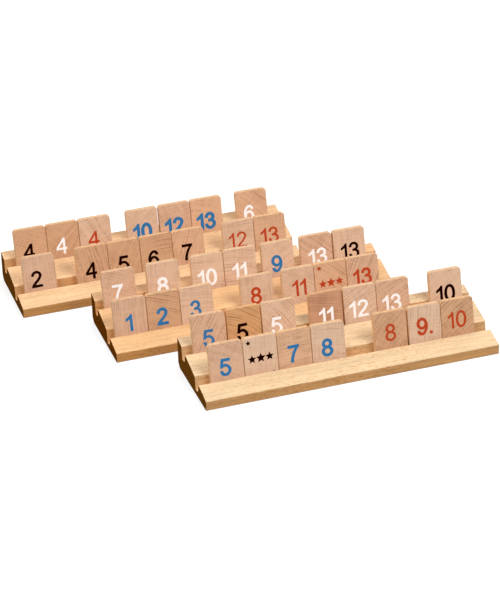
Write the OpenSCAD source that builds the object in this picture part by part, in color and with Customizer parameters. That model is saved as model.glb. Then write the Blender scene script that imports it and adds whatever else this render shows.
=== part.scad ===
// Three wooden tile racks with forty-two number tiles.
// Each rack is one length of beech: its top rises to the back in one slope, and two
// grooves run along it. A tile stands in a groove on its lower edge and leans back on
// the top edge of the step behind it.
// X runs along the racks, Y to the back and Z up. The origin is on the table, in the
// middle of the whole set.

/* [Rack] */
// Length of a rack from end to end
rack_length = 250; // [220:1:320]
// Depth of a rack from its front face to its back
rack_depth = 75; // [72:0.5:90]
// Height of the low front face
front_height = 8.5; // [8:0.5:12]
// Slope of the top, rising to the back, in degrees
top_slope = 13.5; // [11:0.5:16]
// Depth of the lip in front of the first groove
lip_depth = 19; // [16:0.5:21]
// Radius of the eased long edges
edge_ease = 0.8; // [0.4:0.1:1.2]
// Size of the bevel along the lower back edge
heel_bevel = 4; // [2:0.5:6]

/* [Grooves] */
// Distance from the first groove to the second
groove_pitch = 35; // [30:0.5:37]
// Height of the first groove's floor at its front
groove_floor_height = 5.6; // [4.5:0.1:6.5]
// How far a groove's front wall runs back on its way down
wall_splay = 2.4; // [1:0.1:3]
// Room behind a standing tile's lower edge
heel_room = 0.9; // [0.5:0.1:1.5]

/* [Tiles] */
// Width of a tile
tile_width = 28.3; // [24:0.1:30]
// Height of a tile
tile_height = 36.4; // [30:0.1:42]
// Thickness of a tile
tile_thickness = 5; // [4:0.1:6]
// Radius of a tile's four corners
tile_corner = 2.6; // [1.5:0.1:5]
// Radius of the eased edges round a tile's faces
tile_ease = 0.5; // [0.3:0.05:0.8]
// How far a standing tile leans back, in degrees
tile_lean = 12; // [8:0.5:15]

/* [Fit] */
// Gap between a tile and the step it leans on
lean_gap = 0.2; // [0.1:0.05:0.4]
// Gap between a tile and the foot of the groove's front wall
foot_gap = 0.3; // [0.1:0.05:0.5]
// Gap under a tile's lower edge
seat_gap = 0.1; // [0.05:0.05:0.2]
// Least gap between tiles that stand side by side
side_gap = 0.4; // [0.3:0.1:1]

/* [Placing on the table] */
// How far the middle rack lies to the right of the rear one
middle_shift = 53.5; // [0:0.5:80]
// How far the front rack lies to the right of the middle one
front_shift = 45.5; // [0:0.5:80]
// Free space between the rear rack and the middle one
rear_space = 24.5; // [5:0.5:60]
// Free space between the middle rack and the front one
front_space = 22; // [5:0.5:60]

/* [Hidden] */
$fn = 48;

// Free room along each groove in millimetres, from the left end to the right: before
// the first tile, between the tiles and after the last. The room there is, in a groove
// of any length, is shared out in these proportions.
rear_upper_room = [10, 0, 0, 14, 1, 0, 13, 12];
rear_lower_room = [8, 18, 0, 0, 0, 17, 0, 7];
middle_upper_room = [7, 10, 10, 0, 5, 6, 1, 11];
middle_lower_room = [6, 0, 0, 24, 8, 0, 0, 12];
front_upper_room = [9, 1, 1, 12, 1, 0, 18, 8];
front_lower_room = [12, 0, 0, 0, 25, 1, 0, 12];

rack_names = ["rear", "middle", "front"];
groove_names = ["upper", "lower"];
rooms = [
  [rear_upper_room, rear_lower_room],
  [middle_upper_room, middle_lower_room],
  [front_upper_room, front_lower_room]
];
tiles_in_row = len(rear_upper_room) - 1;

function rack_name(r) = str(rack_names[r], "_rack");
function tile_name(r, g, i) = str(rack_names[r], "_", groove_names[g], "_tile_", i + 1);

// Size of the easing circle against one that only touches the two faces it joins
ease_crossing = 1.02;

rack_color = "#f0d2a0";
tile_color = "#d8b088";

// The set on the table
set_length = rack_length + middle_shift + front_shift;
set_depth = 3 * rack_depth + rear_space + front_space;
rack_x = [0, middle_shift, middle_shift + front_shift];
rack_y = [0, -rack_depth - rear_space, -2 * rack_depth - rear_space - front_space];

// Height of the sloping top at a depth y from the front face
function top_at(y) = front_height + y * tan(top_slope);

// Directions in a rack's end profile: along a groove's floor and up a leaning tile
floor_way = [cos(tile_lean), -sin(tile_lean)];
tile_way = [sin(tile_lean), cos(tile_lean)];

// Corners of the first groove: foot of the front wall, back of the floor, and the
// top edge of the step behind, which the tile leans on
foot = [lip_depth + wall_splay, groove_floor_height];
floor_back = foot + (foot_gap + tile_thickness + heel_room) * floor_way;
lean_line = foot + (foot_gap + tile_thickness + lean_gap) * floor_way;
lean_reach = (top_at(lean_line[0]) - lean_line[1]) / (tile_way[1] - tile_way[0] * tan(top_slope));
step_edge = lean_line + lean_reach * tile_way;

// From the first groove to the second, along the slope
next_groove = [groove_pitch, groove_pitch * tan(top_slope)];

// The end profile as corners [y, z, easing radius]
function corner(p, ease) = [p[0], p[1], ease];
profile = [
  corner([0, 0], edge_ease),
  corner([0, front_height], edge_ease),
  corner([lip_depth, top_at(lip_depth)], edge_ease),
  corner(foot, 0),
  corner(floor_back, 0),
  corner(step_edge, edge_ease),
  corner([lip_depth, top_at(lip_depth)] + next_groove, edge_ease),
  corner(foot + next_groove, 0),
  corner(floor_back + next_groove, 0),
  corner(step_edge + next_groove, edge_ease),
  corner([rack_depth, top_at(rack_depth)], edge_ease),
  corner([rack_depth, heel_bevel], edge_ease),
  corner([rack_depth - heel_bevel, 0], edge_ease)
];

function unit(v) = v / norm(v);
function flat(p) = [p[0], p[1]];

// Cuts the sharp tip off the corner between two neighbours, back to a circle. The circle
// is a little larger than one that only touches both faces, so that it crosses them.
module ease_corner(before, tip, after, radius) {
  to_before = unit(flat(before) - flat(tip));
  to_after = unit(flat(after) - flat(tip));
  inward = unit(to_before + to_after);
  half_angle = acos(to_before * inward);
  tangent = radius / tan(half_angle) * cos(half_angle);
  translate(flat(tip)) rotate(atan2(inward[1], inward[0]))
    difference() {
      translate([-radius, -3 * radius]) square([radius + tangent, 6 * radius]);
      translate([radius / sin(half_angle), 0]) circle(radius * ease_crossing);
    }
}

module rack_profile() {
  last = len(profile) - 1;
  difference() {
    polygon([for (c = profile) flat(c)]);
    for (k = [0:last])
      if (profile[k][2] > 0)
        ease_corner(
          profile[k == 0 ? last : k - 1],
          profile[k],
          profile[k == last ? 0 : k + 1],
          profile[k][2]
        );
  }
}

// Puts what is drawn in a rack's own place: its front left lower corner is the origin
module at_rack(r) {
  translate([rack_x[r] - set_length / 2, set_depth / 2 - rack_depth + rack_y[r], 0])
    children();
}

module rack(r) {
  color(rack_color)
    at_rack(r)
      rotate([90, 0, 90]) linear_extrude(rack_length) rack_profile();
}

// Section through a tile's thickness with its edges rounded, centred on its middle
module tile_section(width) {
  square([width - 2 * tile_ease, tile_thickness], center = true);
  square([width, tile_thickness - 2 * tile_ease], center = true);
  for (x = [-1, 1], y = [-1, 1])
    translate([x * (width / 2 - tile_ease), y * (tile_thickness / 2 - tile_ease)])
      circle(tile_ease);
}

// A straight run of that section
module tile_run(width, length) {
  rotate([90, 0, 0]) linear_extrude(length, center = true) tile_section(width);
}

// One rounded corner: the same section turned about the corner's axis
module tile_corner_turn() {
  rotate_extrude()
    intersection() {
      tile_section(2 * tile_corner);
      translate([0, -tile_thickness]) square([2 * tile_corner, 2 * tile_thickness]);
    }
}

// A tile lying flat, centred on its middle
module tile_blank() {
  tile_run(tile_width, tile_height - 2 * tile_corner);
  rotate(90) tile_run(tile_height, tile_width - 2 * tile_corner);
  for (x = [-1, 1], y = [-1, 1])
    translate([x * (tile_width / 2 - tile_corner), y * (tile_height / 2 - tile_corner), 0])
      tile_corner_turn();
}

function total(list, count) = count == 0 ? 0 : list[count - 1] + total(list, count - 1);

// Left edge of tile i in a groove whose free room is shared out as room says
function tile_left(room, i) =
  i * (tile_width + side_gap)
  + (rack_length - tiles_in_row * tile_width - (tiles_in_row - 1) * side_gap)
  * total(room, i + 1) / total(room, len(room));

module tile(r, g, i) {
  seat = foot + (1 - g) * next_groove + foot_gap * floor_way + seat_gap * tile_way;
  middle = seat + tile_thickness / 2 * floor_way + tile_height / 2 * tile_way;
  color(tile_color)
    at_rack(r)
      translate([tile_left(rooms[r][g], i) + tile_width / 2, middle[0], middle[1]])
        rotate([90 - tile_lean, 0, 0]) tile_blank();
}

for (r = [0:2])
  rack(r);
for (r = [0:2], g = [0:1], i = [0:tiles_in_row - 1])
  tile(r, g, i);
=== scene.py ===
"""Looks of three beech tile racks with forty-two printed number tiles."""

import math

import bmesh
import bpy
from mathutils import Matrix, Vector
from mathutils.geometry import delaunay_2d_cdt


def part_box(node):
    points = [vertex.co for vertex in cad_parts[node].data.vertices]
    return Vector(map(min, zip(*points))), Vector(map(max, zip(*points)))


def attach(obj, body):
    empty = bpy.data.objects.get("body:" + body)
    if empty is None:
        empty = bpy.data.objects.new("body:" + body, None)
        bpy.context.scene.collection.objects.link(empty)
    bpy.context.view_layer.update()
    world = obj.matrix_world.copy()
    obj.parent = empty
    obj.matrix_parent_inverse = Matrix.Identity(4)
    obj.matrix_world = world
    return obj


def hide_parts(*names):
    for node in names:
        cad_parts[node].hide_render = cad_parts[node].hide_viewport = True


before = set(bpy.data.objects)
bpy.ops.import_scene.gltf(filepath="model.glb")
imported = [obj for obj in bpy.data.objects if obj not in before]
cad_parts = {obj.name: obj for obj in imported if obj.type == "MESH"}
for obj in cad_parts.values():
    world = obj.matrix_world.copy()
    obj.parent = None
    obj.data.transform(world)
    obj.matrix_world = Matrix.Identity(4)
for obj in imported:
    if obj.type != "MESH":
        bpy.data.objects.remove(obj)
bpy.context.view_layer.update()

MM = 0.001
RACKS = ("rear", "middle", "front")

# Sizes that part.scad also holds
TILE_WIDTH = 28.3 * MM
TILE_HEIGHT = 36.4 * MM
TILE_THICKNESS = 5 * MM
TILE_LEAN = math.radians(12)

# Sizes of the finish
RIM_RADIUS = 0.45 * MM
GRAIN_RELIEF = 0.4 * MM
INK_RELIEF = 0.2 * MM
INK_THICKNESS = 0.06 * MM
FIGURE_HEIGHT = 13.9 * MM


# Meshes and objects


def mesh_from(shape, name):
    """A mesh with the faces of a bmesh, which is used up."""
    mesh = bpy.data.meshes.new(name)
    shape.to_mesh(mesh)
    shape.free()
    return mesh


def new_object(name, data):
    """An object in the scene that holds a mesh, a lamp or a camera."""
    made = bpy.data.objects.new(name, data)
    bpy.context.scene.collection.objects.link(made)
    return made


def use_material(piece, material):
    """Gives a whole piece one material."""
    piece.data.materials.clear()
    piece.data.materials.append(material)


# Shader nodes


def wire(tree, value, socket):
    """Sets an input to a value, or links a socket to it."""
    if isinstance(value, bpy.types.NodeSocket):
        tree.links.new(value, socket)
    else:
        socket.default_value = value


def add(tree, kind, inputs=None, **settings):
    """A shader node with its inputs wired, by name or by number."""
    made = tree.nodes.new("ShaderNode" + kind)
    for name, value in settings.items():
        setattr(made, name, value)
    for key, value in (inputs or {}).items():
        wire(tree, value, made.inputs[key])
    return made


def calc(tree, operation, *values):
    """The result of one Math node."""
    made = add(tree, "Math", dict(enumerate(values)), operation=operation)
    return made.outputs[0]


def total(tree, first, *others):
    """The sum of all the values."""
    for value in others:
        first = calc(tree, "ADD", first, value)
    return first


def product(tree, first, *others):
    """The product of all the values."""
    for value in others:
        first = calc(tree, "MULTIPLY", first, value)
    return first


def split(tree, vector):
    """A vector's X, Y and Z."""
    return add(tree, "SeparateXYZ", {0: vector}).outputs


def shade(tree, color, strength):
    """A colour made darker or lighter."""
    made = add(tree, "VectorMath", {0: color, 3: strength}, operation="SCALE")
    return made.outputs[0]


def blend(tree, share, first, second, kind="MIX"):
    """Mixes two colours."""
    made = add(tree, "Mix", {0: share, 6: first, 7: second}, data_type="RGBA", blend_type=kind)
    return made.outputs[2]


def ramp(tree, value, low, high, to_low=0.0, to_high=1.0):
    """A smooth step: to_low up to low, and to_high from high on."""
    made = add(
        tree,
        "MapRange",
        {"Value": value, "From Min": low, "From Max": high, "To Min": to_low, "To Max": to_high},
        interpolation_type="SMOOTHSTEP",
    )
    return made.outputs["Result"]


def noise(tree, point, detail, scale=1.0):
    """Soft noise about 0.5, with as many finer layers as detail says."""
    made = add(tree, "TexNoise", {"Vector": point, "Scale": scale, "Detail": detail})
    return made.outputs["Fac"]


def stretch(tree, point, x, y, z, seed=0.0):
    """The point with each direction scaled by itself, then moved by the seed. A small
    scale draws the grain out long in that direction."""
    scaled = add(tree, "VectorMath", {0: point, 1: (x, y, z)}, operation="MULTIPLY")
    shift = add(tree, "CombineXYZ", {0: seed, 1: seed, 2: seed})
    moved = add(tree, "VectorMath", {0: scaled.outputs[0], 1: shift.outputs[0]}, operation="ADD")
    return moved.outputs[0]


def new_wood_group(name, inputs):
    """An empty node group for a wooden surface, and its sockets inside it."""
    group = bpy.data.node_groups.new(name, "ShaderNodeTree")
    for label, kind, default in inputs:
        socket = group.interface.new_socket(label, in_out="INPUT", socket_type="NodeSocket" + kind)
        if default is not None:
            socket.default_value = default
    for label, kind in (("Color", "Color"), ("Roughness", "Float"), ("Height", "Float")):
        group.interface.new_socket(label, in_out="OUTPUT", socket_type="NodeSocket" + kind)
    given = group.nodes.new("NodeGroupInput")
    out = group.nodes.new("NodeGroupOutput")
    return group, given.outputs, out.inputs


def seen(tree):
    """1 where a surface is seen, also in a gloss or through glass, and 0 where it only
    sends light on."""
    paths = add(tree, "LightPath").outputs
    reflected = calc(tree, "MAXIMUM", paths["Is Glossy Ray"], paths["Is Transmission Ray"])
    return calc(tree, "MAXIMUM", paths["Is Camera Ray"], reflected)


# Effects of the wood, with points in millimetres


def place_on_rings(group, given, turned):
    """How far a point lies along the growth rings and across them."""
    along, across, _ = split(group, turned)
    # The rings bend as wide arcs, waver a little and stand at uneven distances
    arc = product(group, along, along, given["Bend"])
    waver = noise(group, stretch(group, turned, 0.05, 0.1, 0.02, given["Seed"]), 1.0)
    across = total(group, across, arc, product(group, waver, 2.2))
    uneven_at = add(group, "CombineXYZ", {0: product(group, across, 0.31), 1: given["Seed"]})
    uneven = noise(group, uneven_at.outputs[0], 1.0)
    return along, total(group, across, product(group, uneven, 2.6))


def ring_lines(group, given, turned, across):
    """Dark lines at the growth rings, each soft on one side and sharp on the other."""
    phase = calc(group, "DIVIDE", across, given["Gap"])
    fraction = calc(group, "FRACT", phase)
    # Each ring has its own strength, and fades in some places
    ring = add(group, "TexWhiteNoise", {"W": calc(group, "FLOOR", phase)}, noise_dimensions="1D")
    fade = noise(group, stretch(group, turned, 0.1, 0.1, 0.02, given["Seed"]), 1.0)
    return product(
        group,
        ramp(group, fraction, 0.35, 0.86),
        ramp(group, fraction, 0.9, 1.0, 1.0, 0.0),
        ramp(group, ring.outputs["Value"], 0.0, 1.0, 0.3, 0.85),
        ramp(group, fade, 0.3, 0.6, 0.5, 1.0),
    )


def slice_face(group, given, along, across, line, fibres):
    """The colour of a tile's two faces: rings, finer lines beside them, rays square to
    them and a faint cloudiness."""
    depth = given["Depth"]
    lengthwise = add(group, "CombineXYZ", {0: along, 1: across, 2: given["Seed"]}).outputs[0]
    finer = noise(group, stretch(group, lengthwise, 0.05, 0.85, 1.0), 2.0)
    rays = noise(group, stretch(group, lengthwise, 0.95, 0.06, 1.0), 1.0)
    cloud = noise(group, stretch(group, given["Point"], 0.07, 0.07, 0.02, given["Seed"]), 1.0)
    dark = total(
        group,
        product(group, line, depth),
        product(
            group,
            ramp(group, finer, 0.32, 0.68, -0.24, 0.36),
            calc(group, "MULTIPLY_ADD", depth, 0.6, 0.3),
        ),
        ramp(group, cloud, 0.3, 0.7, -0.05, 0.12),
        ramp(group, fibres, 0.3, 0.7, -0.07, 0.11),
    )
    pale = product(group, ramp(group, rays, 0.42, 0.68), 0.2)
    share = add(group, "Clamp", {"Value": calc(group, "SUBTRACT", dark, pale)}).outputs[0]
    return blend(group, share, given["Pale"], given["Dark"])


def slice_edge(group, given):
    """The long grain round a tile's edge, with painted light on its left and right sides."""
    grain = noise(group, stretch(group, given["Point"], 0.9, 0.9, 0.08, given["Seed"]), 3.0)
    # Painted light: the left and right sides, found by the normal, are made up to 18 percent
    # lighter
    sideways = calc(group, "ABSOLUTE", split(group, given["Normal"])[0])
    lighter = ramp(group, sideways, 0.5, 0.9, 1.0, 1.18)
    tone = product(group, lighter, ramp(group, grain, 0.3, 0.7, 0.84, 1.1))
    return shade(group, given["Edge"], tone)


def make_slice_group():
    """A slice across a beech stem, with its rings on two faces and long grain round them."""
    group, given, out = new_wood_group(
        "beech_slice",
        [
            ("Point", "Vector", None),
            ("Normal", "Vector", None),
            ("Turn", "Float", 0.0),
            ("Gap", "Float", 2.0),
            ("Bend", "Float", 0.0),
            ("Depth", "Float", 0.5),
            ("Seed", "Float", 0.0),
            ("Pale", "Color", (0.8, 0.6, 0.4, 1)),
            ("Dark", "Color", (0.5, 0.3, 0.2, 1)),
            ("Edge", "Color", (0.7, 0.5, 0.3, 1)),
        ],
    )
    turned = add(
        group,
        "VectorRotate",
        {"Vector": given["Point"], "Angle": product(group, given["Turn"], -1.0)},
        rotation_type="Z_AXIS",
    ).outputs[0]
    along, across = place_on_rings(group, given, turned)
    line = ring_lines(group, given, turned, across)
    fibres = noise(group, stretch(group, given["Point"], 1.5, 1.5, 0.1, given["Seed"]), 2.0)
    face = slice_face(group, given, along, across, line, fibres)
    # A tile's front and back show the face, and all round them its edge shows
    front = (0.0, -math.cos(TILE_LEAN), math.sin(TILE_LEAN))
    facing = add(group, "VectorMath", {0: given["Normal"], 1: front}, operation="DOT_PRODUCT")
    facing = ramp(group, calc(group, "ABSOLUTE", facing.outputs["Value"]), 0.6, 0.92)
    wire(group, blend(group, facing, slice_edge(group, given), face), out["Color"])
    wire(group, ramp(group, line, 0.0, 1.0, 0.62, 0.74), out["Roughness"])
    height = total(group, product(group, line, -0.6), product(group, fibres, 0.5))
    wire(group, height, out["Height"])
    return group


def make_plank_group():
    """Long-grain beech: silky streaks and short dark flecks along X."""
    group, given, out = new_wood_group(
        "beech_plank",
        [
            ("Point", "Vector", None),
            ("Normal", "Vector", None),
            ("Seed", "Float", 0.0),
            ("Flecks", "Float", 0.5),
            ("Top", "Color", (0.8, 0.6, 0.4, 1)),
            ("Side", "Color", (0.7, 0.45, 0.2, 1)),
        ],
    )
    point, seed = given["Point"], given["Seed"]
    streaks = noise(group, stretch(group, point, 0.035, 0.7, 0.7, seed), 3.0)
    bands = noise(group, stretch(group, point, 0.006, 0.09, 0.09, seed), 1.0)
    # Flecks are the ends of rays, two or three millimetres long, and crowd in some places
    crowd = noise(group, stretch(group, point, 0.012, 0.05, 0.05, seed), 1.0)
    crowd = product(group, ramp(group, crowd, 0.4, 0.6, 0.4, 1.0), given["Flecks"])
    fleck = noise(group, stretch(group, point, 0.28, 1.55, 1.55, seed), 1.0)
    fleck = product(group, ramp(group, fleck, 0.56, 0.68), crowd)
    # The front and back faces take the darker Side tone, partly the wood's own and partly painted
    # shade
    upward = ramp(group, split(group, given["Normal"])[2], 0.02, 0.3)
    base = blend(group, upward, given["Side"], given["Top"])
    # Painted light: the wood behind the lip, which is 19 mm deep, is made a little lighter on the
    # step tops
    painted_light_behind_lip = ramp(group, split(group, point)[1], 18.0, 24.0, 0.0, 0.06)
    tone = total(
        group,
        ramp(group, streaks, 0.3, 0.7, 0.87, 1.07),
        ramp(group, bands, 0.3, 0.7, -0.05, 0.04),
        product(group, painted_light_behind_lip, upward),
    )
    toned = shade(group, base, tone)
    darker = blend(group, 1.0, toned, (0.78, 0.60, 0.41, 1), "MULTIPLY")
    wire(group, blend(group, fleck, toned, darker), out["Color"])
    wire(group, ramp(group, streaks, 0.3, 0.7, 0.5, 0.6), out["Roughness"])
    height = calc(group, "SUBTRACT", product(group, streaks, 0.8), product(group, fleck, 0.5))
    wire(group, height, out["Height"])
    return group


def make_sawn_end_group():
    """End grain of a rack: wide arcs of growth rings about a heart below it, with pores."""
    group, given, out = new_wood_group(
        "beech_sawn_end",
        [
            ("Point", "Vector", None),
            ("Seed", "Float", 0.0),
            ("Tone", "Color", (0.4, 0.2, 0.05, 1)),
        ],
    )
    point, seed = given["Point"], given["Seed"]
    # The heart of the stem lies 34 mm behind the rack's front and 60 mm under the table
    heart = add(group, "VectorMath", {0: point, 1: (0.0, -34.0, 60.0)}, operation="ADD")
    flat = stretch(group, heart.outputs[0], 0.0, 1.0, 1.0)
    reach = add(group, "VectorMath", {0: flat}, operation="LENGTH").outputs["Value"]
    waver = noise(group, stretch(group, point, 0.0, 0.07, 0.07, seed), 2.0)
    phase = total(group, product(group, reach, 0.42), product(group, waver, 3.0))
    rings = ramp(group, calc(group, "FRACT", phase), 0.2, 0.95)
    pores = noise(group, stretch(group, point, 0.3, 1.9, 1.9, seed), 2.0)
    tone = total(
        group,
        ramp(group, rings, 0.0, 1.0, 1.15, 0.75),
        ramp(group, pores, 0.3, 0.7, -0.14, 0.14),
    )
    wire(group, shade(group, given["Tone"], tone), out["Color"])
    wire(group, ramp(group, pores, 0.3, 0.7, 0.7, 0.85), out["Roughness"])
    height = calc(group, "SUBTRACT", pores, product(group, rings, 0.4))
    wire(group, height, out["Height"])
    return group


def make_wood(name, effect, place, look, bump, specular, coat=0.0):
    """The material of one wooden piece: an effect in the piece's own frame, with its look."""
    material = bpy.data.materials.new(name)
    material.use_nodes = True
    tree = material.node_tree
    coords = add(tree, "TexCoord").outputs
    point = add(
        tree,
        "Mapping",
        {
            "Vector": coords["Object"],
            "Location": place.to_translation(),
            "Rotation": place.to_euler(),
            "Scale": (MM, MM, MM),
        },
        vector_type="TEXTURE",
    ).outputs[0]
    wood = add(tree, "Group", {"Point": point, **look}, node_tree=effect)
    if "Normal" in wood.inputs:
        wire(tree, coords["Normal"], wood.inputs["Normal"])
    relief = add(
        tree,
        "Bump",
        {"Strength": bump, "Distance": GRAIN_RELIEF, "Height": wood.outputs["Height"]},
    )
    surface = tree.nodes["Principled BSDF"].inputs
    surface["Specular IOR Level"].default_value = specular
    surface["Coat Weight"].default_value = coat
    surface["Coat Roughness"].default_value = 0.35
    wire(tree, wood.outputs["Color"], surface["Base Color"])
    wire(tree, wood.outputs["Roughness"], surface["Roughness"])
    wire(tree, relief.outputs["Normal"], surface["Normal"])
    return material


# The racks


# The tones of a rack's top, of its front and back, and of its two ends, and the strength
# of its flecks. The darker front and back tone is partly the wood's own and partly painted shade
RACK_TONES = {
    "rear": ((0.725, 0.465, 0.254), (0.611, 0.292, 0.091), (0.145, 0.052, 0.006), 0.85),
    "middle": ((0.704, 0.423, 0.208), (0.611, 0.287, 0.087), (0.145, 0.042, 0.002), 1.0),
    "front": ((0.685, 0.490, 0.291), (0.687, 0.365, 0.140), (0.165, 0.060, 0.007), 1.0),
}
PLANK = make_plank_group()
SAWN_END = make_sawn_end_group()


def ease_rack_ends(rack):
    """A copy of a rack with the rims of its two sawn ends rounded off."""
    shape = bmesh.new()
    shape.from_mesh(rack.data)
    bmesh.ops.remove_doubles(shape, verts=shape.verts, dist=0.001 * MM)
    bmesh.ops.dissolve_limit(
        shape, angle_limit=math.radians(0.5), verts=shape.verts, edges=shape.edges
    )
    ends = [f for f in shape.faces if abs(f.normal.x) > 0.99]
    rims = {e for f in ends for e in f.edges}
    bmesh.ops.bevel(
        shape,
        geom=list(rims),
        offset=RIM_RADIUS,
        offset_type="OFFSET",
        segments=3,
        profile=0.5,
        affect="EDGES",
        clamp_overlap=False,
        material=-1,
    )
    bmesh.ops.recalc_face_normals(shape, faces=shape.faces)
    for f in shape.faces:
        f.material_index = 1 if abs(f.normal.x) > 0.6 else 0
    name = rack.name + "_eased"
    return new_object(name, mesh_from(shape, name))


def dress_rack(name, number):
    """Puts a rack with eased ends in the place of the plain one."""
    node = name + "_rack"
    top, side, end, flecks = RACK_TONES[name]
    corner = Matrix.Translation(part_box(node)[0])
    seed = 17.3 * number + 4.0
    look = {"Seed": seed, "Flecks": flecks, "Top": (*top, 1), "Side": (*side, 1)}
    long_grain = make_wood(
        node + "_beech", PLANK, corner, look, bump=0.12, specular=0.25, coat=0.04
    )
    look = {"Seed": seed, "Tone": (*end, 1)}
    end_grain = make_wood(node + "_end_grain", SAWN_END, corner, look, bump=0.15, specular=0.0)
    eased = ease_rack_ends(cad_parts[node])
    eased.data.materials.append(long_grain)
    eased.data.materials.append(end_grain)
    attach(eased, node)
    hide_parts(node)


for number, name in enumerate(RACKS):
    dress_rack(name, number)


# The tiles


# Tones of a slice of beech: the pale wood, the dark lines and the long grain of the edge
SLICE_TONES = {
    "rose": ((0.752, 0.513, 0.355), (0.384, 0.185, 0.093), (0.642, 0.410, 0.232)),
    "blush": ((0.712, 0.450, 0.298), (0.352, 0.165, 0.082), (0.633, 0.388, 0.216)),
    "sand": ((0.732, 0.445, 0.272), (0.362, 0.165, 0.078), (0.642, 0.393, 0.203)),
    "tan": ((0.661, 0.384, 0.220), (0.307, 0.136, 0.061), (0.616, 0.370, 0.190)),
    "ochre": ((0.681, 0.370, 0.169), (0.282, 0.117, 0.041), (0.605, 0.338, 0.152)),
    "umber": ((0.590, 0.318, 0.186), (0.259, 0.107, 0.049), (0.560, 0.306, 0.152)),
}

# Each tile from left to right: number or stars and the ink; in millimetres how bold the
# print is, how far its middle lies from the tile's left edge and its top from the top
# edge; then the direction of the growth rings in degrees, the distance between them and
# how far they bend, how deep they show, and the tone
TILES = {
    "rear_upper": (
        ("4", "black", 0.45, 11.8, 13.7, -32, 2.4, 0.008, 0.35, "tan"),
        ("4", "white", 0.20, 12.0, 13.4, 48, 1.7, 0.004, 0.60, "tan"),
        ("4", "red", 0.25, 12.1, 12.3, -68, 1.6, 0.002, 0.50, "rose"),
        ("10", "blue", 0.65, 13.7, 12.6, 38, 1.3, 0.002, 0.45, "rose"),
        ("12", "blue", 0.65, 12.9, 12.6, -76, 1.4, 0.001, 0.50, "blush"),
        ("13", "blue", 0.65, 13.2, 12.9, -18, 2.2, 0.003, 0.30, "sand"),
        ("6", "white", 0.35, 11.1, 12.9, -44, 1.6, 0.002, 0.55, "sand"),
    ),
    "rear_lower": (
        ("2", "black", 0.35, 11.2, 13.2, 89, 2.0, 0.001, 0.35, "blush"),
        ("4", "black", 0.35, 12.4, 14.4, -78, 2.7, 0.002, 0.75, "tan"),
        ("5", "black", 0.40, 12.9, 13.5, 62, 1.8, 0.003, 0.50, "tan"),
        ("6", "black", 0.38, 10.8, 13.4, 8, 2.6, 0.010, 0.55, "tan"),
        ("7", "black", 0.35, 12.6, 13.1, 72, 2.2, 0.002, 0.50, "sand"),
        ("12", "red", 0.06, 13.0, 10.5, 2, 1.2, 0.001, 0.35, "rose"),
        ("13", "red", 0.22, 13.4, 11.0, -4, 1.2, 0.001, 0.45, "sand"),
    ),
    "middle_upper": (
        ("7", "white", 0.30, 12.7, 12.5, -26, 2.2, 0.003, 0.40, "blush"),
        ("8", "white", 0.45, 12.9, 13.0, 86, 1.3, 0.001, 0.40, "rose"),
        ("10", "white", 0.35, 13.4, 13.0, -8, 1.5, 0.002, 0.45, "rose"),
        ("11", "white", 0.35, 13.3, 12.7, -7, 1.9, 0.003, 0.50, "rose"),
        ("9.", "blue", 0.45, 14.8, 11.7, 36, 2.0, 0.003, 0.40, "rose"),
        ("13", "white", 0.32, 14.9, 12.1, -42, 1.8, 0.002, 0.55, "blush"),
        ("13", "black", 0.30, 14.4, 12.2, -88, 3.0, 0.001, 0.40, "rose"),
    ),
    "middle_lower": (
        ("1", "blue", 0.42, 12.8, 13.8, 88, 1.8, 0.001, 0.50, "blush"),
        ("2", "blue", 0.50, 12.5, 13.1, -22, 2.0, 0.004, 0.60, "tan"),
        ("3", "blue", 0.30, 12.7, 12.1, -5, 1.4, 0.001, 0.45, "rose"),
        ("8", "red", 0.38, 13.1, 10.3, 88, 1.5, 0.001, 0.50, "rose"),
        ("11", "red", 0.25, 14.6, 10.6, -30, 1.8, 0.002, 0.45, "rose"),
        ("stars", "red", 0.00, 14.2, 2.2, -40, 2.1, 0.003, 0.50, "sand"),
        ("13", "red", 0.35, 13.5, 10.7, 68, 2.3, 0.003, 0.65, "blush"),
    ),
    "front_upper": (
        ("5", "blue", 0.38, 13.3, 13.4, 62, 2.0, 0.003, 0.60, "blush"),
        ("5", "black", 0.45, 12.3, 13.6, -34, 2.2, 0.008, 0.60, "ochre"),
        ("5", "white", 0.36, 11.8, 13.6, -56, 2.2, 0.004, 0.50, "rose"),
        ("11", "white", 0.25, 14.0, 13.4, -12, 1.5, 0.003, 0.60, "umber"),
        ("12", "white", 0.27, 12.6, 12.2, 30, 1.7, 0.002, 0.45, "rose"),
        ("13", "white", 0.28, 12.8, 12.5, 25, 1.9, 0.002, 0.60, "blush"),
        ("10", "black", 0.38, 13.8, 13.0, 30, 2.2, 0.003, 0.35, "rose"),
    ),
    "front_lower": (
        ("5", "blue", 0.45, 12.9, 13.1, -30, 1.4, 0.003, 0.45, "blush"),
        ("stars", "black", 0.00, 14.2, 2.2, 88, 1.7, 0.001, 0.30, "rose"),
        ("7", "blue", 0.50, 13.0, 12.7, 3, 1.8, 0.002, 0.65, "sand"),
        ("8", "blue", 0.55, 12.8, 12.6, -5, 2.2, 0.002, 0.40, "rose"),
        ("8", "red", 0.20, 13.9, 10.5, 50, 1.8, 0.002, 0.55, "tan"),
        ("9.", "red", 0.50, 13.8, 10.4, 82, 2.4, 0.001, 0.50, "rose"),
        ("10", "red", 0.20, 13.6, 10.3, 36, 3.0, 0.002, 0.80, "tan"),
    ),
}

# Each ink: colour, how much the pores of the wood show through it, and its sheen
INKS = {
    "black": ((0.011, 0.0004, 0.0001), 0.05, 0.0),
    "white": ((1.0, 1.0, 1.0), 0.2, 0.6),
    "red": ((0.50, 0.058, 0.016), 1.0, 0.06),
    "blue": ((0.030, 0.185, 0.43), 1.0, 0.06),
}
BARE_WOOD = (0.66, 0.42, 0.27)

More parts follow.
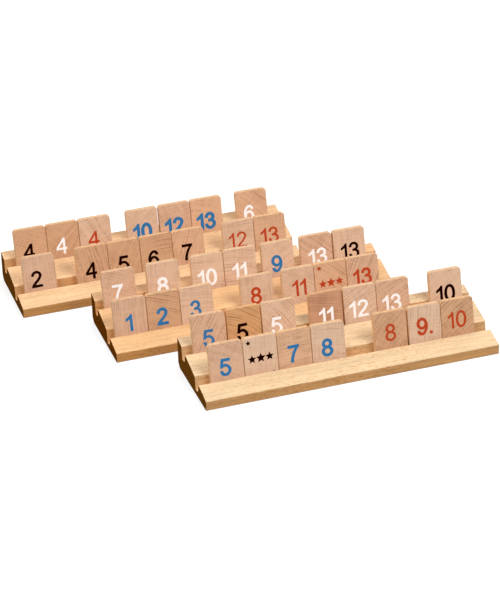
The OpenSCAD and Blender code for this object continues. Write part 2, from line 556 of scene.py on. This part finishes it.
# Outlines of the printed figures, a hundred units tall. A point has no handle at a
# sharp corner, one that counts both ways on a smooth run, or one in and one out.
OUTLINES = {
    "0": (
        ((0, 50, 0, 31), (32, 101.5, 17.5, 0), (64, 50, 0, -31), (32, -1.5, -17.5, 0)),
        ((13, 50, 0, 25), (32, 89, 10.5, 0), (51, 50, 0, -25), (32, 11, -10.5, 0)),
    ),
    "1": (
        (
            (45, 0),
            (33, 0),
            (33, 78, 0, 0, -6, -5.6),
            (9.2, 63.4, 9, 3, 0, 0),
            (9.2, 75.2, 0, 0, 11, 5.5),
            (37.3, 100, -3.5, -8.5, 0, 0),
            (45, 100),
        ),
    ),
    "2": (
        (
            (64, 0),
            (64, 12),
            (17, 12, 0, 0, 3, 5),
            (33, 28.5, 8, 7.3),
            (62.5, 73, 0, 15),
            (32.5, 101.3, -17, 0),
            (1.8, 72.8, 1.5, 17, 0, 0),
            (14.2, 71, 0, 0, 0.3, 11),
            (32.8, 89.3, 10.5, 0),
            (49.8, 72.8, 0, -9.5),
            (24, 36.2, -12, -10.5),
            (0.4, 4, 0.8, 9, -0.2, -2),
            (0.2, 0),
        ),
    ),
    "3": (
        (
            (0.3, 27.3, 0, 0, 1.8, -17),
            (30.8, -1.6, 18.5, 0),
            (63.8, 28.8, 0, 14.5),
            (45.8, 53.2, 9.5, -2.4, 7.5, 3.6),
            (59, 74.3, 0, 13.5),
            (30.8, 101.4, -16, 0),
            (2, 74.6, 2.2, 16, 0, 0),
            (14.2, 72.4, 0, 0, 1.4, 11),
            (31, 89.6, 9, 0),
            (46.7, 74, 0, -8.5),
            (24, 57.8, 12.5, 0, 0, 0),
            (22.6, 46.4, 0, 0, 3.5, 0.8),
            (31, 47.2, 11, 0),
            (51.2, 28.8, 0, -10.3),
            (30.8, 10.2, -10, 0),
            (12.4, 29, 1.5, -12, 0, 0),
        ),
    ),
    "4": (
        (
            (42.5, 0),
            (54.3, 0),
            (54.3, 27.5),
            (65, 27.5),
            (65, 38.7),
            (54.3, 38.7),
            (54.3, 100),
            (44.7, 100),
            (-1, 38.9),
            (-1, 27.5),
            (42.5, 27.5),
        ),
        ((42.5, 38.7), (42.5, 80), (11.6, 38.7)),
    ),
    "5": (
        (
            (0.4, 26.2, 0, 0, 1.6, -16.8),
            (30.5, -1.6, 18.8, 0),
            (64, 32.3, 0, 17.5),
            (33.8, 66.2, -8, 0),
            (15.8, 60.6, 5.5, 3.6, 0, 0),
            (20.8, 86.9),
            (59.6, 86.9),
            (59.6, 98.6),
            (11, 98.6),
            (1.8, 48.6),
            (12.9, 47.2, 0, 0, 3.8, 5.2),
            (30.2, 55.2, 11, 0),
            (51.3, 31.5, 0, -12.5),
            (30.4, 10.2, -9.6, 0),
            (12.9, 27.2, 1.6, -11, 0, 0),
        ),
    ),
    "6": (
        (
            (62, 76.6, 0, 0, -2.2, 15.2),
            (34.8, 101.4, -14, 0),
            (0.2, 47.5, 0, -29),
            (33.2, -1.6, 17.5, 0),
            (64.3, 32.2, 0, 18),
            (35.4, 65.8, -9.4, 0),
            (12.9, 54.5, 4.6, 7, 0.5, 19),
            (34.2, 89.6, 7.5, 0),
            (50, 75.2, -2.4, 9.2, 0, 0),
        ),
        ((14.2, 32.4, 0, 11.8), (33, 54.6, 10.4, 0), (51.8, 31.6, 0, -12), (33.4, 10, -10.4, 0)),
    ),
    "7": (
        (
            (0.8, 98.8),
            (64, 98.8),
            (64, 89.3, 0, 0, -13.5, -14.5),
            (38.8, 51.5, -6.5, -13.5),
            (26.6, 0, 0.6, 20, 0, 0),
            (14.2, 0, 0, 0, 0.4, 16),
            (25.5, 47, 6.2, 17),
            (48.6, 86.6, -9.5, -11.5, 0, 0),
            (0.8, 86.6),
        ),
    ),
    "8": (
        (
            (32, -1.6, 18, 0),
            (64.2, 27.8, 0, 14),
            (45.4, 53.4, 9.5, -2.6, 8, 3.4),
            (60.3, 74.8, 0, 14),
            (31.8, 101.4, -15.8, 0),
            (3.9, 74.4, 0, -13.6),
            (19, 53.4, -8, 3.2, -10, -2.8),
            (0, 28, 0, -15),
        ),
        ((16.2, 74.6, 0, 8.6), (31.9, 89.8, 8.8, 0), (48, 74.8, 0, -8.6), (32, 58.4, -9, 0)),
        ((12.4, 28.2, 0, 10), (32, 47, 11, 0), (51.8, 28, 0, -10.2), (32.2, 9.8, -11, 0)),
    ),
}
OUTLINES["."] = (((7, 14, 3.9, 0), (14, 7, 0, -3.9), (7, 0, -3.9, 0), (0, 7, 0, 3.9)),)
# A nine is a six turned half round
OUTLINES["9"] = tuple(
    tuple((64 - x, 100 - y, *(-reach for reach in handles)) for x, y, *handles in ring)
    for ring in OUTLINES["6"]
)

# An outline's unit, and how many of them a millimetre has
UNIT = FIGURE_HEIGHT / 100
UNITS_PER_MM = 100 * MM / FIGURE_HEIGHT

# From one figure to the next, in units; two ones stand closer together
FIGURE_ADVANCE = {"1": 60, ".": 14}
USUAL_ADVANCE = 74
ADVANCE_IN_11 = 50
SPACE_BEFORE_DOT = 4

CURVE_STEPS = 10


def star(x, y, reach):
    """A five-pointed star, placed in millimetres from the tile's upper left corner."""
    inner_reach = 0.48 * reach
    corners = []
    for k in range(10):
        length = reach if k % 2 == 0 else inner_reach
        turn = k * math.pi / 5
        corners.append((x + length * math.sin(turn), length * math.cos(turn) - y))
    return tuple((across * UNITS_PER_MM, up * UNITS_PER_MM) for across, up in corners)


# The two tiles that stand for any number: a row of stars, and small ones in two corners
OUTLINES["stars"] = (
    star(4.6, 4.4, 2.3),
    star(6.7, 18.5, 3.7),
    star(14.1, 18.2, 4.2),
    star(21.5, 18.0, 3.7),
    star(23.9, 32.2, 2.3),
)


def trace(ring):
    """The outline as a list of points, in straight steps along its curved runs."""
    places = []
    for x, y, *handles in ring:
        if len(handles) == 2:
            handles = [-handles[0], -handles[1], *handles]
        reach = handles or [0, 0, 0, 0]
        places.append((Vector((x, y)), Vector(reach[:2]), Vector(reach[2:])))
    points = []
    for (here, _, leaving), (there, arriving, _) in zip(places, places[1:] + places[:1]):
        steps = CURVE_STEPS if leaving.length + arriving.length > 0 else 1
        for k in range(steps):
            t = k / steps
            points.append(
                here * (1 - t) ** 3
                + (here + leaving) * 3 * t * (1 - t) ** 2
                + (there + arriving) * 3 * t**2 * (1 - t)
                + there * t**3
            )
    return points


def grow(points, amount, outer):
    """The outline moved outwards, or a hole's inwards, by an amount. An outer outline
    comes back running to the left and a hole's to the right."""
    after = points[1:] + points[:1]
    turn = sum(a.x * b.y - b.x * a.y for a, b in zip(points, after))
    if (turn > 0) != outer:
        points = points[::-1]
        after = points[1:] + points[:1]
    # A sharp corner's mitre is divided by no less than this, which keeps it short
    least_divisor = 0.4
    grown = []
    for a, b, c in zip(points[-1:] + points[:-1], points, after):
        first, second = (b - a).normalized(), (c - b).normalized()
        out_first, out_second = Vector((first.y, -first.x)), Vector((second.y, -second.x))
        divisor = max(1 + out_first.dot(out_second), least_divisor)
        grown.append(b + (out_first + out_second) / divisor * amount)
    return grown


def figure_outlines(label, bold):
    """The outlines of a number or the stars, grown by how bold the print is."""
    outlines = []
    shift = 0
    for mark in [label] if label == "stars" else label:
        shift += SPACE_BEFORE_DOT if mark == "." else 0
        for k, ring in enumerate(OUTLINES[mark]):
            grown = grow(trace(ring), bold * MM / UNIT, k == 0 or mark == "stars")
            outlines.append([point + Vector((shift, 0)) for point in grown])
        shift += ADVANCE_IN_11 if label == "11" else FIGURE_ADVANCE.get(mark, USUAL_ADVANCE)
    return outlines


def rounds(edges, spot):
    """How often the outlines run round a spot. A hole's outline takes one off."""
    count = 0
    for a, b in edges:
        rises = b.y > a.y
        if (a.y > spot.y) != (b.y > spot.y):
            side = (b.x - a.x) * (spot.y - a.y) - (b.y - a.y) * (spot.x - a.x)
            if (side > 0) == rises:
                count += 1 if rises else -1
    return count


def fill(outlines):
    """Corners and triangles of all that the outlines run round, with the holes left open.
    A grown outline may cross itself in a sharp inner corner, which the operators that
    fill a face don't allow."""
    points = [point for ring in outlines for point in ring]
    edges = [edge for ring in outlines for edge in zip(ring, ring[1:] + ring[:1])]
    numbers = iter(range(len(points)))
    rings = [[next(numbers) for _ in ring] for ring in outlines]
    inside_outlines = 1
    merged_within = 0.02
    corners, _, triangles = delaunay_2d_cdt(points, [], rings, inside_outlines, merged_within)[:3]
    middles = [sum((corners[k] for k in triangle), Vector((0, 0))) / 3 for triangle in triangles]
    filled = [
        triangle for triangle, middle in zip(triangles, middles) if rounds(edges, middle) > 0
    ]
    return corners, filled


def figure_mesh(label, bold):
    """The flat printed figures or stars in metres, their top at zero and centred sideways."""
    corners, triangles = fill(figure_outlines(label, bold))
    middle = (min(p.x for p in corners) + max(p.x for p in corners)) / 2
    top = max(p.y for p in corners)
    shape = bmesh.new()
    spots = [
        shape.verts.new(((p.x - middle) * UNIT, (p.y - top) * UNIT, -INK_THICKNESS / 2))
        for p in corners
    ]
    for triangle in triangles:
        shape.faces.new([spots[k] for k in triangle])
    raised = bmesh.ops.extrude_face_region(shape, geom=list(shape.faces))
    lifted = [v for v in raised["geom"] if isinstance(v, bmesh.types.BMVert)]
    bmesh.ops.translate(shape, verts=lifted, vec=(0, 0, INK_THICKNESS))
    bmesh.ops.recalc_face_normals(shape, faces=shape.faces)
    return mesh_from(shape, "figure")


def make_ink(name, color, wear, sheen):
    """Printing ink: an even film that the wood's pores break up slightly."""
    material = bpy.data.materials.new(name + "_ink")
    material.use_nodes = True
    tree = material.node_tree
    point = add(tree, "TexCoord").outputs["Object"]
    pores = noise(tree, point, 2.0, 2600.0)
    cloud = noise(tree, point, 1.0, 240.0)
    worn = total(
        tree,
        ramp(tree, pores, 0.6, 0.75, 0.0, 0.06 * wear),
        ramp(tree, cloud, 0.45, 0.8, 0.0, 0.03 * wear),
    )
    relief = add(tree, "Bump", {"Strength": 0.1, "Distance": INK_RELIEF, "Height": pores})
    surface = tree.nodes["Principled BSDF"].inputs
    surface["Specular IOR Level"].default_value = sheen
    wire(tree, blend(tree, worn, (*color, 1), (*BARE_WOOD, 1)), surface["Base Color"])
    wire(tree, ramp(tree, pores, 0.3, 0.7, 0.42, 0.58), surface["Roughness"])
    wire(tree, relief.outputs["Normal"], surface["Normal"])
    return material


SLICE = make_slice_group()
INK_MATERIALS = {name: make_ink(name, *look) for name, look in INKS.items()}


def tile_place(node):
    """Where a tile's own frame lies: in its middle, with Z out of its front."""
    low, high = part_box(node)
    leaning = Matrix.Rotation(math.pi / 2 - TILE_LEAN, 4, "X")
    return Matrix.Translation((low + high) / 2) @ leaning


def dress_tile(node, seed, turn, gap, bend, depth, tone):
    """Gives a tile its own slice of beech."""
    pale, dark, edge = SLICE_TONES[tone]
    look = {
        "Turn": math.radians(turn),
        "Gap": gap,
        "Bend": bend,
        "Depth": depth,
        "Seed": seed,
        "Pale": (*pale, 1),
        "Dark": (*dark, 1),
        "Edge": (*edge, 1),
    }
    place = tile_place(node)
    wood = make_wood(node + "_beech", SLICE, place, look, bump=0.1, specular=0.25)
    use_material(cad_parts[node], wood)


def print_on_tile(node, label, ink, bold, middle, drop):
    """Prints a number or the stars on a tile's front."""
    mesh = figure_mesh(label, bold)
    on_face = (middle * MM - TILE_WIDTH / 2, TILE_HEIGHT / 2 - drop * MM, TILE_THICKNESS / 2)
    mesh.transform(tile_place(node) @ Matrix.Translation(on_face))
    mesh.materials.append(INK_MATERIALS[ink])
    kind = "stars" if label == "stars" else "number"
    printed = new_object(f"{node}_{ink}_{kind}", mesh)
    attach(printed, node)


for row_number, (row, tiles) in enumerate(TILES.items()):
    for i, (label, ink, bold, middle, drop, *slice_look) in enumerate(tiles):
        node = f"{row}_tile_{i + 1}"
        dress_tile(node, 3.7 * i + 29.1 * row_number + 1.0, *slice_look)
        print_on_tile(node, label, ink, bold, middle, drop)


# The table, the light and the camera


# Each lamp: degrees to the right of the front, degrees up, metres away, metres wide, watts
LAMPS = {
    "key_lamp": (46, 54, 3, 1.5, 65),
    "left_lamp": (-62, 34, 3, 2, 44),
    "top_lamp": (180, 66, 2.5, 1.8, 27),
}

# The photograph's camera, with the directions of its right side, top and back
CAMERA_PLACE = (-0.54494, -1.73294, 1.02633)
CAMERA_TURN = (
    (0.94824, -0.31654, -0.02527),
    (0.17511, 0.45484, 0.87318),
    (-0.26491, -0.83242, 0.48672),
)
SENSOR_WIDTH = 36
FOCAL_LENGTH = 148.97

# How far the table top reaches each way, in metres, and how far it lies below the racks
TABLE_REACH = 6.0
TABLE_GAP = 0.2 * MM


def make_table():
    """A white table top that keeps the racks' shadow."""
    shape = bmesh.new()
    bmesh.ops.create_grid(shape, x_segments=1, y_segments=1, size=TABLE_REACH)
    table = new_object("table_top", mesh_from(shape, "table_top"))
    table.location.z = -TABLE_GAP
    material = bpy.data.materials.new("white_table")
    material.use_nodes = True
    tree = material.node_tree
    tree.nodes.clear()
    lit = add(tree, "BsdfDiffuse", {"Color": (0.42, 0.42, 0.42, 1)})
    # The table glows more away from the racks, so that it stays white beyond the lamps
    far = add(tree, "VectorMath", {0: add(tree, "TexCoord").outputs["Object"]}, operation="LENGTH")
    strength = ramp(tree, far.outputs["Value"], 0.3, 1.6, 0.66, 1.0)
    glow = add(tree, "Emission", {"Color": (1, 1, 1, 1), "Strength": strength})
    bright = add(tree, "AddShader", {0: lit.outputs[0], 1: glow.outputs[0]})
    dull = add(tree, "BsdfDiffuse", {"Color": (0.2, 0.2, 0.2, 1)})
    mixed = add(tree, "MixShader", {0: seen(tree), 1: dull.outputs[0], 2: bright.outputs[0]})
    add(tree, "OutputMaterial", {"Surface": mixed.outputs[0]})
    use_material(table, material)


def make_world():
    """Soft light from all round, in front of a white background."""
    world = bpy.data.worlds.new("studio")
    bpy.context.scene.world = world
    world.use_nodes = True
    tree = world.node_tree
    tree.nodes.clear()
    soft = add(tree, "Background", {"Color": (1.0, 0.97, 0.93, 1), "Strength": 0.285})
    white = add(tree, "Background", {"Color": (1, 1, 1, 1), "Strength": 1.0})
    mixed = add(tree, "MixShader", {0: seen(tree), 1: soft.outputs[0], 2: white.outputs[0]})
    add(tree, "OutputWorld", {"Surface": mixed.outputs[0]})


def make_lamp(name, turn, rise, distance, size, power):
    """A square lamp that looks at the middle of the racks."""
    turn, rise = math.radians(turn), math.radians(rise)
    away = Vector(
        (math.sin(turn) * math.cos(rise), -math.cos(turn) * math.cos(rise), math.sin(rise))
    )
    lamp = bpy.data.lights.new(name, "AREA")
    lamp.size = size
    lamp.energy = power
    holder = new_object(name, lamp)
    holder.location = away * distance
    holder.rotation_euler = away.to_track_quat("Z", "Y").to_euler()


def make_camera():
    """The photograph's view, from the front left and above."""
    view = bpy.data.cameras.new("photo_camera")
    view.sensor_width = SENSOR_WIDTH
    view.lens = FOCAL_LENGTH
    view.clip_start = 0.1
    view.clip_end = 50
    holder = new_object("photo_camera", view)
    turned = Matrix(CAMERA_TURN).transposed().to_4x4()
    holder.matrix_world = Matrix.Translation(CAMERA_PLACE) @ turned
    bpy.context.scene.camera = holder


make_table()
make_world()
for name, setting in LAMPS.items():
    make_lamp(name, *setting)
make_camera()
bpy.context.scene.view_settings.view_transform = "Standard"
